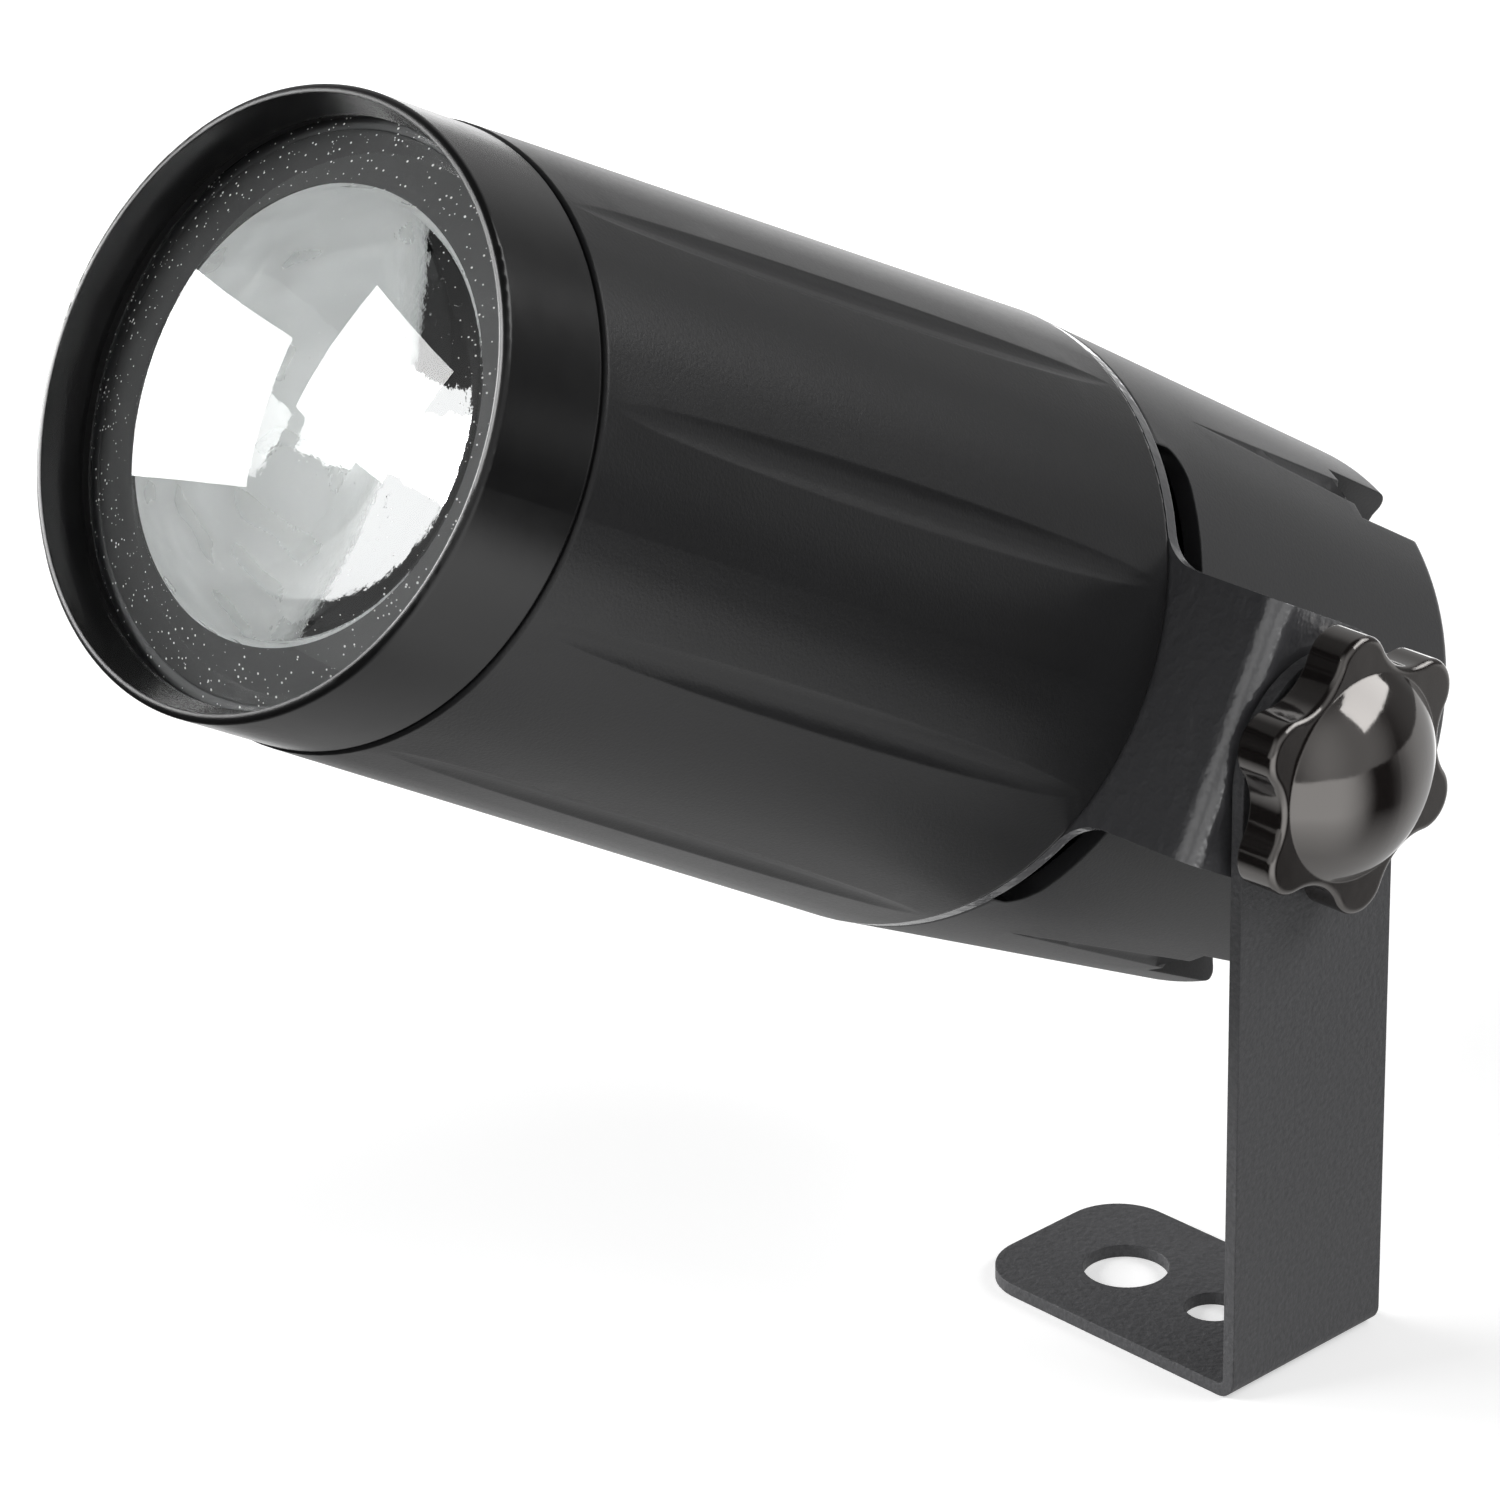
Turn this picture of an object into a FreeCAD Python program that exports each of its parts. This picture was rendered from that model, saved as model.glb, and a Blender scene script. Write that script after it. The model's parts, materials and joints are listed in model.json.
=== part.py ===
import FreeCAD, Part
import math
import os

# Pinspot light on a one-sided bracket, in millimetres.
# Row frame: +Z up, the origin at the clamp hole's centre on the underside of the foot.
# The upright stands on the +X side and the lamp looks towards -Y, tilted up as photographed.
# Along the lamp everything is a station: its distance behind the front rim.

Vector = FreeCAD.Vector

# Bracket
strip_wide = 32.0
sheet_thick = 2.0
match_share = 0.01
bend_outer = 3.0
bend_inner = bend_outer - sheet_thick
hole_to_face = 36.0
foot_long = 53.0
foot_corner = 9.0
clamp_hole_r = 6.5
small_hole_r = 4.25
small_hole_x = 17.6
pivot_high = 96.5
tilt_at_rest = 29.0

# Stations of the lamp
bezel_end = 18.2
barrel_end = 134.4
plate_end = barrel_end + sheet_thick
tail_end = 211.3
pivot_behind_plate = 14.2
pivot_station = plate_end + pivot_behind_plate

# Outer radii of the lamp, each from the one before it
rim_r = 42.2
bezel_draft = 0.3
seam_step = 0.3
rear_step = 0.2
tail_draft = 3.1
bezel_r = rim_r + bezel_draft
barrel_front_r = bezel_r + seam_step
barrel_rear_r = 46.2
tail_front_r = barrel_rear_r - rear_step
tail_rear_r = tail_front_r - tail_draft
plate_r = tail_front_r
ear_reach = 20.2
axis_to_face = plate_r + ear_reach
wall = 3.0
edge_round = 0.8

# Front bezel and lens
rim_round = 0.9
rim_edge_wide = 1.3
lip_wide = 2.8
bezel_wall = 1.7
lens_play = 0.2
front_dome_edge = 1.3
back_dome_edge = 10.6
lip_front_r = rim_r - rim_edge_wide
lip_r = rim_r - lip_wide
lip_front = 5.3
lip_back = 6.2
bezel_bore_r = rim_r - bezel_wall
gasket_thick = 1.2
gasket_wide = 1.0
lens_front = lip_back + gasket_thick
lens_edge_thick = 3.0
lens_back = lens_front + lens_edge_thick
lens_r = bezel_bore_r - lens_play
front_dome_r = lens_r - front_dome_edge
front_dome_high = 7.1
back_dome_r = lens_r - back_dome_edge
dome_ball_r = (front_dome_r ** 2 + front_dome_high ** 2) / (2.0 * front_dome_high)

# Barrel
neck_play = 0.1
neck_wall = 2.8
neck_r = bezel_bore_r - neck_play
neck_inner_r = neck_r - neck_wall
rib_behind_bezel = 2.0
rib_thick = 2.0
rib_wide = 2.4
rib_front = bezel_end + rib_behind_bezel
rib_inner_r = neck_inner_r - rib_wide
flute_count = 9
flute_front_gap = 1.6
flute_rear_gap = 3.4
flute_start = bezel_end + flute_front_gap
flute_end = barrel_end - flute_rear_gap
flute_half_wide = 3.1
flute_deep = 0.9
flute_run_out = 6.0
flute_sections = 5

# Screws that hold the tail, the plate and the barrel together
case_screw_count = 3
case_screw_turn = 60.0
case_screw_inset = 6.9
case_screw_circle_r = barrel_rear_r - case_screw_inset
case_screw_r = 2.0
case_screw_play = 0.2
case_screw_head_r = 3.6
case_screw_head_high = 2.8
case_screw_grip = 12.4
case_screw_end = barrel_end - case_screw_grip
barrel_boss_r = 4.0
barrel_boss_long = 22.4
barrel_boss_front = barrel_end - barrel_boss_long
tail_boss_r = 4.5

# Yoke plate with its ear
ear_half = 19.3
ear_root_round = 8.0
ear_bend_outer = 3.5
ear_bend_inner = ear_bend_outer - sheet_thick
friction_washer_thick = 1.0
tab_gap_r = 4.25

# Tail housing
tail_cut_half = 34.3
tail_cut_deep = 6.3
tail_cut_end = plate_end + tail_cut_deep
tail_cut_round = 4.0
tail_cut_inner_x = 25.0
groove_gap = 15.6
groove_start = plate_end + groove_gap
channel_long = 17.3
channel_start = tail_end - channel_long
channel_half = 5.2
channel_wall = 2.0
groove_half = 2.6
groove_deep = 1.3
tail_round = 3.0
panel_recess = 3.0
panel_thick = 2.0
panel_back = tail_end - panel_recess
panel_front = panel_back - panel_thick
ledge_wide = 2.2
ledge_thick = 2.0
panel_play = 0.2
panel_boss_inset = 6.4
panel_boss_circle_r = tail_rear_r - panel_boss_inset
panel_boss_r = 4.5
panel_boss_long = 18.3
panel_boss_front = panel_front - panel_boss_long
panel_screw_r = 1.5
panel_screw_long = 9.0
panel_screw_head_r = 2.8
panel_screw_head_high = 1.8
slot_long_share = 0.55
slot_wide_share = 0.14
slot_deep_share = 0.5

# Light engine
baffle_thick = 1.2
baffle_wide = 7.6
tunnel_play = 0.2
tunnel_step = 0.5
baffle_front = lens_back
baffle_inner_r = neck_inner_r - baffle_wide
tunnel_flange_r = neck_inner_r - tunnel_play
tunnel_mouth_r = baffle_inner_r + tunnel_step
tunnel_mouth = baffle_front + baffle_thick
tunnel_end_r = 8.5
tunnel_wall = 1.4
heat_sink_base_thick = 5.0
heat_sink_play = 0.5
heat_sink_r = case_screw_circle_r - barrel_boss_r - heat_sink_play
fin_count = 9
fin_gap = 5.4
fin_thick = 1.8
heat_sink_front = barrel_end - heat_sink_base_thick
led_board_thick = 1.6
led_board_r = 15.0
led_board_front = heat_sink_front - led_board_thick
emitter_half = 3.5
emitter_base_thick = 1.0
emitter_dome_r = 2.6
sink_screw_inset = 3.2
sink_screw_circle_r = heat_sink_r - sink_screw_inset
plate_hole_inset = 3.1
plate_hole_r = sink_screw_circle_r - plate_hole_inset
fin_zone_r = plate_hole_r - heat_sink_play
sink_screw_r = 1.5
sink_screw_head_r = 2.7
sink_screw_head_high = 1.8
led_screw_circle_r = 12.2
led_screw_r = 1.2
led_screw_head_r = 2.1
led_screw_head_high = 1.3
led_screw_long = 5.0

# Rear panel fittings, as X and Z from the lamp's axis
window_x0 = -15.0
window_x1 = 11.0
window_z0 = 13.0
window_z1 = 25.0
window_lip = 1.0
window_proud = 0.6
window_corner = 1.5
button_xs = (-13.0, -5.0, 3.0, 11.0)
button_z = 7.0
button_r = 2.6
button_play = 0.3
button_proud = 1.6
button_flange_r = 3.3
button_flange_thick = 0.8
button_travel = 0.6
button_round = 0.7
socket_x = 16.5
socket_z = -11.0
socket_flange_r = 13.0
socket_flange_thick = 1.5
socket_body_r = 11.0
socket_body_long = 17.7
socket_body_end = panel_back - socket_body_long
cup_r = 9.3
cup_deep = 12.0
pin_r = 1.2
pin_circle_r = 4.8
pin_long = 10.0
pin_tail = 4.0
pin_round = 0.7
pin_angles = (30.0, 150.0, 270.0)
insert_r = 7.3
insert_hole_r = 1.5
insert_set_back = 0.8
latch_half_wide = 2.9
latch_low = 9.9
latch_high = 12.1
latch_play = 0.3
latch_proud = 1.4
latch_deep = 5.0
latch_travel = 1.0
latch_round = 0.5
socket_screw_circle_r = 12.4
socket_screw_turns = (45.0, 225.0)
socket_pad_r = 3.0
socket_screw_r = 1.0
socket_screw_head_r = 1.5
socket_screw_head_high = 0.7
socket_screw_long = 4.6
gland_x = 0.0
gland_z = -27.0
gland_thread_r = 6.0
gland_bore_r = 3.5
gland_hex_flat = 14.0
gland_hex_thick = 2.5
gland_cap_r = 6.4
gland_cap_long = 7.0
gland_cap_straight = 2.8
gland_cap_mouth_r = 4.6
gland_nut_thick = 3.0
gland_inner_long = 6.0

# Boards behind the rear panel
control_gap = 7.0
control_thick = 1.6
control_back = panel_front - control_gap
control_front = control_back - control_thick
control_x0 = -20.4
control_x1 = 16.4
control_z0 = 1.6
control_z1 = 26.0
post_x0 = -17.8
post_x1 = 13.8
post_z = 19.0
post_r = 2.0
switch_half = 3.0
switch_high = 3.4
display_margin = 0.5
driver_back = panel_boss_front
driver_thick = 1.6
driver_front = driver_back - driver_thick
driver_inset = 3.4
driver_r = tail_rear_r - driver_inset
driver_play = 0.4
capacitor_r = 4.0
capacitor_high = 8.5
transformer_half = 8.0
transformer_high = 9.0
coil_r = 4.5
coil_high = 5.0
part_offset = 16.0
fin_end = driver_front - transformer_high - fin_gap

# Clamping knob, its stud and the hardware on it
knob_washer_thick = 1.6
knob_washer_r = 8.0
washer_hole_r = 4.25
friction_washer_r = 11.0
stud_r = 3.95
nut_bore_r = 4.0
nut_flat = 13.0
nut_thick = 6.5
stud_past_nut = 1.5
stud_in_knob = 7.5
stud_chamfer = 0.8
lobe_count = 6
lobe_turn = 91.0
lobe_tip_r = 21.1
lobe_r = 5.05
valley_r = 16.4
knob_skirt = 6.3
knob_dome = 7.0
knob_dome_inset = 1.2
knob_dome_r = valley_r - knob_dome_inset
knob_wall = 2.0
knob_round = 1.0
knob_top_thick = 2.6
knob_hub_r = 7.5

axis_x = hole_to_face - axis_to_face
flat_to_point = 1.0 / math.cos(math.pi / 6.0)
tab_outer = axis_to_face - sheet_thick - friction_washer_thick
tab_inner = tab_outer - sheet_thick
washer_face = axis_to_face + knob_washer_thick
stud_end = tab_inner - nut_thick - stud_past_nut

axis_dir = Vector(0, 1, 0)
side_dir = Vector(1, 0, 0)
up_dir = Vector(0, 0, 1)
centre = Vector(0, 0, 0)


# Basic moves: a station becomes a place along Y, measured from the pivot
def along(station):
    return station - pivot_station


def spot(station, x=0.0, z=0.0):
    return Vector(x, along(station), z)


def polar(radius, degrees):
    turn = math.radians(degrees)
    return radius * math.cos(turn), radius * math.sin(turn)


def rod(start, end, radius, x=0.0, z=0.0):
    return Part.makeCylinder(radius, end - start, spot(start, x, z), axis_dir)


def tube(start, end, radius, hole, x=0.0, z=0.0):
    return rod(start, end, radius, x, z).cut(rod(start, end, hole, x, z))


def block(start, end, x0, x1, z0, z1):
    return Part.makeBox(x1 - x0, end - start, z1 - z0, spot(start, x0, z0))


def cross_rod(x0, x1, radius):
    return Part.makeCylinder(radius, x1 - x0, Vector(x0, 0, 0), side_dir)


def hexagon(start, end, flat, x=0.0, z=0.0):
    corner = 0.5 * flat * flat_to_point
    points = [spot(start, x + polar(corner, 60.0 * k)[0], z + polar(corner, 60.0 * k)[1]) for k in range(7)]
    return Part.Face(Part.makePolygon(points)).extrude(axis_dir * (end - start))


# A closed outline of (station, radius) corners, where a third pair makes an arc through the second
def turned(path):
    edges = []
    last = path[0]
    for step in path[1:] + [path[0]]:
        a = Vector(last[-1], along(last[-2]), 0)
        if len(step) == 4:
            middle = Vector(step[1], along(step[0]), 0)
            edges.append(Part.Arc(a, middle, Vector(step[3], along(step[2]), 0)).toShape())
        else:
            end = Vector(step[1], along(step[0]), 0)
            if a.distanceToPoint(end) > 0:
                edges.append(Part.makeLine(a, end))
        last = step
    return Part.Face(Part.Wire(edges)).revolve(centre, axis_dir, 360)


def turn_to(shape, degrees):
    copy = shape.copy()
    copy.rotate(centre, axis_dir, -degrees)
    return copy


def around(shape, count, first=0.0):
    return [turn_to(shape, first + 360.0 * k / count) for k in range(count)]


def fused(shapes):
    whole = shapes[0]
    for shape in shapes[1:]:
        whole = whole.fuse(shape)
    return whole.removeSplitter()


# The lamp's own frame goes to the row frame: tilt about the pivot, then move to it
def tilt(shape):
    copy = shape.copy()
    copy.rotate(centre, side_dir, -tilt_at_rest)
    copy.translate(Vector(axis_x, 0, pivot_high))
    return copy


def upright(shape):
    copy = shape.copy()
    copy.translate(Vector(axis_x, 0, pivot_high))
    return copy


os.makedirs("parts", exist_ok=True)
saved = []


def save(name, shape):
    shape.exportStep("parts/" + name + ".step")
    saved.append((name, len(shape.Solids), round(shape.Volume, 1)))


def radius_at(station, start, start_r, end, end_r):
    share = (station - start) / (end - start)
    return start_r + share * (end_r - start_r)


def barrel_r(station):
    return radius_at(station, bezel_end, barrel_front_r, barrel_end, barrel_rear_r)


def tail_r(station):
    return radius_at(station, plate_end, tail_front_r, tail_end, tail_rear_r)


# Mounting bracket: a strip bent to an L, its top round about the pivot
def make_bracket():
    half = 0.5 * strip_wide
    face = hole_to_face
    inner = face - sheet_thick
    turn = math.sqrt(0.5)
    outer_c = Vector(face - bend_outer, 0, bend_outer)
    a = Vector(face - foot_long, -half, 0)
    b = Vector(face - bend_outer, -half, 0)
    c = Vector(face, -half, bend_outer)
    mid_out = Vector(outer_c.x + turn * bend_outer, -half, outer_c.z - turn * bend_outer)
    mid_in = Vector(outer_c.x + turn * bend_inner, -half, outer_c.z - turn * bend_inner)
    top = pivot_high + half
    d = Vector(face, -half, top)
    e = Vector(inner, -half, top)
    f = Vector(inner, -half, bend_outer)
    g = Vector(face - bend_outer, -half, sheet_thick)
    h = Vector(face - foot_long, -half, sheet_thick)
    edges = [Part.makeLine(a, b), Part.Arc(b, mid_out, c).toShape(), Part.makeLine(c, d)]
    edges += [Part.makeLine(d, e), Part.makeLine(e, f), Part.Arc(f, mid_in, g).toShape()]
    edges += [Part.makeLine(g, h), Part.makeLine(h, a)]
    strip = Part.Face(Part.Wire(edges)).extrude(Vector(0, strip_wide, 0))
    reach = foot_long + strip_wide
    straight = Part.makeBox(reach, strip_wide, pivot_high, Vector(face - reach, -half, 0))
    round_top = Part.makeCylinder(half, reach, Vector(face - reach, 0, pivot_high), side_dir)
    strip = strip.common(straight.fuse(round_top))
    corners = []
    for edge in strip.Edges:
        middle = edge.CenterOfMass
        lengthwise = abs(edge.BoundBox.ZLength - sheet_thick) < match_share * sheet_thick
        if lengthwise and abs(middle.x - (face - foot_long)) < match_share * sheet_thick:
            corners.append(edge)
    strip = strip.makeFillet(foot_corner, corners)
    strip = strip.cut(Part.makeCylinder(clamp_hole_r, sheet_thick, centre, up_dir))
    strip = strip.cut(Part.makeCylinder(small_hole_r, sheet_thick, Vector(small_hole_x, 0, 0), up_dir))
    hole = Part.makeCylinder(tab_gap_r, sheet_thick, Vector(inner, 0, pivot_high), side_dir)
    return strip.cut(hole)


save("mounting_bracket", make_bracket())


# Hardware on the pivot, all round about the X axis through it
def cross_washer(x0, thick, outer, hole):
    return cross_rod(x0, x0 + thick, outer).cut(cross_rod(x0, x0 + thick, hole))


friction_washer = cross_washer(tab_outer, friction_washer_thick, friction_washer_r, washer_hole_r)
save("friction_washer", upright(friction_washer))
save("knob_washer", upright(cross_washer(axis_to_face, knob_washer_thick, knob_washer_r, washer_hole_r)))


def make_weld_nut():
    corner = 0.5 * nut_flat * flat_to_point
    x0 = tab_inner - nut_thick
    ends = [polar(corner, 60.0 * k) for k in range(7)]
    points = [Vector(x0, y, z) for y, z in ends]
    nut = Part.Face(Part.makePolygon(points)).extrude(side_dir * nut_thick)
    return nut.cut(cross_rod(x0, tab_inner, nut_bore_r))


save("weld_nut", tilt(make_weld_nut()))


def make_stud():
    end = washer_face + stud_in_knob
    tip = Part.makeCone(stud_r - stud_chamfer, stud_r, stud_chamfer, Vector(stud_end, 0, 0), side_dir)
    return tip.fuse(cross_rod(stud_end + stud_chamfer, end, stud_r)).removeSplitter()


save("knob_stud", upright(make_stud()))


# Clamping knob: six lobes joined by hollows, every arc tangent to the next, and a round dome on top
def lobed_outline(x, shrink):
    lobe_c = lobe_tip_r - lobe_r
    step = math.pi / lobe_count
    near = lobe_c * math.cos(step)
    gain = lobe_c ** 2 + valley_r ** 2 - 2.0 * near * valley_r - lobe_r ** 2
    hollow_r = gain / (2.0 * (lobe_r - valley_r + near))
    hollow_c = valley_r + hollow_r
    edges = []

    def at(radius, turn):
        return Vector(x, radius * math.cos(turn), radius * math.sin(turn))

    def touch(lobe_angle, hollow_angle):
        a = at(lobe_c, lobe_angle)
        b = at(hollow_c, hollow_angle)
        return a + (b - a).normalize() * (lobe_r - shrink)

    for k in range(lobe_count):
        lobe = math.radians(lobe_turn) + 2.0 * step * k
        before = touch(lobe, lobe - step)
        after = touch(lobe, lobe + step)
        following = touch(lobe + 2.0 * step, lobe + step)
        edges.append(Part.Arc(before, at(lobe_tip_r - shrink, lobe), after).toShape())
        edges.append(Part.Arc(after, at(valley_r - shrink, lobe + step), following).toShape())
    return Part.Face(Part.Wire(edges))


def make_knob():
    base = washer_face
    face = base + knob_skirt
    body = lobed_outline(base, 0).extrude(side_dir * knob_skirt)
    rim = [edge for edge in body.Edges if edge.BoundBox.XMin > base + 0.5 * knob_skirt]
    body = body.makeFillet(knob_round, rim)
    sphere_r = (knob_dome_r ** 2 + knob_dome ** 2) / (2.0 * knob_dome)
    ball = Part.makeSphere(sphere_r, Vector(face + knob_dome - sphere_r, 0, 0))
    dome = ball.common(cross_rod(base, face + knob_dome, knob_dome_r))
    hollow = lobed_outline(base, knob_wall).extrude(side_dir * (knob_skirt - knob_top_thick))
    hollow = hollow.cut(cross_rod(base, face, knob_hub_r))
    body = fused([body, dome]).cut(hollow)
    return body.cut(cross_rod(base, base + stud_in_knob, stud_r))


save("clamping_knob", upright(make_knob()))


# Front bezel: a smooth ring with a thin front lip that holds the lens from the front
def make_bezel():
    slack = rim_round * (1.0 - math.sqrt(0.5))
    path = [(0.0, lip_front_r), (0.0, rim_r - rim_round)]
    path += [(slack, rim_r - slack, rim_round, rim_r)]
    path += [(bezel_end - edge_round, bezel_r), (bezel_end, bezel_r - 0.5 * edge_round)]
    path += [(bezel_end, bezel_bore_r), (lip_back, bezel_bore_r), (lip_back, lip_r), (lip_front, lip_r)]
    return turned(path)


save("front_bezel", tilt(make_bezel()))
save("lens_gasket", tilt(tube(lip_back, lens_front, bezel_bore_r, bezel_bore_r - gasket_wide)))


# Lens: clear, domed alike on both faces, with a wide flat rim at the back that is clamped
def make_lens():
    front_half = 0.5 * front_dome_r
    back_half = 0.5 * back_dome_r
    front_c = lens_front - front_dome_high + dome_ball_r
    back_c = lens_back - math.sqrt(dome_ball_r ** 2 - back_dome_r ** 2)
    front_middle = front_c - math.sqrt(dome_ball_r ** 2 - front_half ** 2)
    back_middle = back_c + math.sqrt(dome_ball_r ** 2 - back_half ** 2)
    path = [(front_c - dome_ball_r, 0.0)]
    path += [(front_middle, front_half, lens_front, front_dome_r)]
    path += [(lens_front, lens_r), (lens_back, lens_r), (lens_back, back_dome_r)]
    path += [(back_middle, back_half, back_c + dome_ball_r, 0.0)]
    return turned(path)


save("lens", tilt(make_lens()))


# Barrel: a tapering moulded tube with a front neck, an inner rib, flutes and screw bosses
def flute_tool():
    middle = 0.5 * (flute_start + flute_end)
    slope = math.atan2(barrel_rear_r - barrel_front_r, barrel_end - bezel_end)
    half_long = 0.5 * (flute_end - flute_start) / math.cos(slope)
    total = flute_half_wide ** 2 / flute_deep
    round_r = 0.5 * (total + flute_deep)
    reach = half_long + flute_run_out
    turn = math.sqrt(0.5)
    sections = []
    for k in range(flute_sections):
        y = reach * (2.0 * k / (flute_sections - 1) - 1.0)
        lift = round_r - flute_deep + flute_deep * (y / half_long) ** 2
        left = Vector(lift, y, -round_r)
        low = Vector(lift - turn * round_r, y, -turn * round_r)
        bottom = Vector(lift - round_r, y, 0)
        high = Vector(lift - turn * round_r, y, turn * round_r)
        right = Vector(lift, y, round_r)
        edges = [Part.Arc(left, low, bottom).toShape(), Part.Arc(bottom, high, right).toShape()]
        edges.append(Part.makeLine(right, left))
        sections.append(Part.Wire(edges))
    tool = Part.makeLoft(sections, True, False)
    tool.rotate(centre, up_dir, -math.degrees(slope))
    tool.translate(Vector(barrel_r(middle), along(middle), 0))
    return tool


def make_barrel():
    slack = edge_round * (1.0 - math.sqrt(0.5))
    inner_front = rib_front + rib_thick
    path = [(lens_back, neck_inner_r), (lens_back, neck_r), (bezel_end, neck_r)]
    path += [(bezel_end, barrel_front_r - 0.5 * edge_round), (bezel_end + 0.5 * edge_round, barrel_front_r)]
    path += [(barrel_end - edge_round, barrel_rear_r)]
    path += [(barrel_end - slack, barrel_rear_r - slack, barrel_end, barrel_rear_r - edge_round)]
    path += [(barrel_end, barrel_rear_r - wall), (inner_front, barrel_front_r - wall)]
    path += [(inner_front, rib_inner_r), (rib_front, rib_inner_r), (rib_front, neck_inner_r)]
    shell = turned(path)
    x, z = polar(case_screw_circle_r, case_screw_turn)
    boss = rod(barrel_boss_front, barrel_end, barrel_boss_r, x, z)
    hole = rod(case_screw_end, barrel_end, case_screw_r, x, z)
    shell = fused([shell] + around(boss, case_screw_count))
    flutes = around(flute_tool(), flute_count, 0.5 * 360.0 / flute_count)
    return shell.cut(flutes + around(hole, case_screw_count))


save("barrel_shell", tilt(make_barrel()))


# Yoke plate: a steel ring clamped between barrel and tail, whose ear is bent back beside the bracket
def make_yoke_plate():
    front = along(barrel_end)
    back = along(plate_end)
    ring = rod(barrel_end, plate_end, plate_r)
    start = 0.5 * plate_r
    bend_x = tab_outer - ear_bend_outer
    bend_y = front + ear_bend_outer
    turn = math.sqrt(0.5)
    flat = Part.makeBox(bend_x - start, sheet_thick, 2.0 * ear_half, Vector(start, front, -ear_half))
    whole = ring.fuse(flat).removeSplitter()
    roots = []
    for edge in whole.Edges:
        box = edge.BoundBox
        middle = edge.CenterOfMass
        across = abs(box.YLength - sheet_thick) < match_share * sheet_thick
        if across and abs(abs(middle.z) - ear_half) < match_share * ear_half and middle.x < plate_r:
            roots.append(edge)
    whole = whole.makeFillet(ear_root_round, roots)
    a = Vector(bend_x, front, -ear_half)
    b = Vector(tab_outer, bend_y, -ear_half)
    c = Vector(tab_outer, ear_half, -ear_half)
    d = Vector(tab_inner, ear_half, -ear_half)
    e = Vector(tab_inner, bend_y, -ear_half)
    f = Vector(bend_x, back, -ear_half)
    mid_out = Vector(bend_x + turn * ear_bend_outer, bend_y - turn * ear_bend_outer, -ear_half)
    mid_in = Vector(bend_x + turn * ear_bend_inner, bend_y - turn * ear_bend_inner, -ear_half)
    edges = [Part.Arc(a, mid_out, b).toShape(), Part.makeLine(b, c), Part.makeLine(c, d)]
    edges += [Part.makeLine(d, e), Part.Arc(e, mid_in, f).toShape(), Part.makeLine(f, a)]
    tab = Part.Face(Part.Wire(edges)).extrude(Vector(0, 0, 2.0 * ear_half))
    reach = tab_outer - start
    keep = Part.makeBox(reach, -front, 2.0 * ear_half, Vector(start, front, -ear_half))
    keep = keep.fuse(cross_rod(start, tab_outer, ear_half))
    whole = fused([whole, tab.common(keep)])
    whole = whole.cut(rod(barrel_end, plate_end, plate_hole_r))
    whole = whole.cut(cross_rod(tab_inner, tab_outer, tab_gap_r))
    x, z = polar(case_screw_circle_r, case_screw_turn)
    for tool in around(rod(barrel_end, plate_end, case_screw_r + case_screw_play, x, z), case_screw_count):
        whole = whole.cut(tool)
    for tool in around(rod(barrel_end, plate_end, sink_screw_r, sink_screw_circle_r), case_screw_count):
        whole = whole.cut(tool)
    return whole


save("yoke_plate", tilt(make_yoke_plate()))


# Tail housing: a tapering cup with a cut-out at the ear and three screw channels in its rim
def make_tail():
    slack = edge_round * (1.0 - math.sqrt(0.5))
    end_slack = tail_round * (1.0 - math.sqrt(0.5))
    inner_end = tail_r(panel_front) - wall
    rear_inner = inner_end
    rear_r = tail_rear_r
    outer = [(plate_end, 0.0), (plate_end, tail_front_r - edge_round)]
    outer += [(plate_end + slack, tail_front_r - slack, plate_end + edge_round, tail_front_r)]
    outer += [(tail_end - tail_round, rear_r)]
    outer += [(tail_end - end_slack, rear_r - end_slack, tail_end, rear_r - tail_round)]
    outer += [(tail_end, 0.0)]
    solid = turned(outer)
    ledge_start = panel_front - ledge_thick
    hollow = [(plate_end, 0.0), (plate_end, tail_front_r - wall), (ledge_start, tail_r(ledge_start) - wall)]
    hollow += [(ledge_start, rear_inner - ledge_wide), (panel_front, rear_inner - ledge_wide)]
    hollow += [(panel_front, rear_inner), (tail_end, rear_inner), (tail_end, 0.0)]
    shell = solid.cut(turned(hollow))
    x, z = polar(case_screw_circle_r, case_screw_turn)
    post = rod(plate_end, channel_start, tail_boss_r, x, z)
    lining_r = channel_half + channel_wall
    lining = rod(channel_start - channel_wall, tail_end, lining_r, x, z)
    px, pz = polar(panel_boss_circle_r, 0)
    panel_boss = rod(panel_boss_front, panel_front, panel_boss_r, px, pz)
    extra = around(post, case_screw_count) + around(lining, case_screw_count)
    extra += around(panel_boss, case_screw_count)
    shell = fused([shell] + [piece.common(solid) for piece in extra])
    far = tail_end + tail_round
    channel = rod(channel_start, far, channel_half, case_screw_circle_r)
    mouth = block(channel_start, far, case_screw_circle_r, plate_r + wall, -channel_half, channel_half)
    screw_way = rod(plate_end, channel_start, case_screw_r + case_screw_play, case_screw_circle_r)
    channel = fused([channel, mouth]).fuse(screw_way)
    for tool in around(channel, case_screw_count, case_screw_turn):
        shell = shell.cut(tool)
    for tool in around(groove_tool(), case_screw_count, case_screw_turn):
        shell = shell.cut(tool)
    for tool in around(rod(panel_boss_front, panel_front, panel_screw_r, px, pz), case_screw_count):
        shell = shell.cut(tool)
    return shell.cut(ear_gap_tool())


def groove_tool():
    start_r = tail_r(groove_start)
    total = groove_half ** 2 / groove_deep
    fat = 0.5 * (total + groove_deep)
    lift = fat - groove_deep
    apex = Vector(start_r, along(groove_start), 0)
    end = Vector(tail_r(channel_start) + lift, along(channel_start), 0)
    path = end - apex
    return Part.makeCone(0, fat, path.Length, apex, path)


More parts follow.
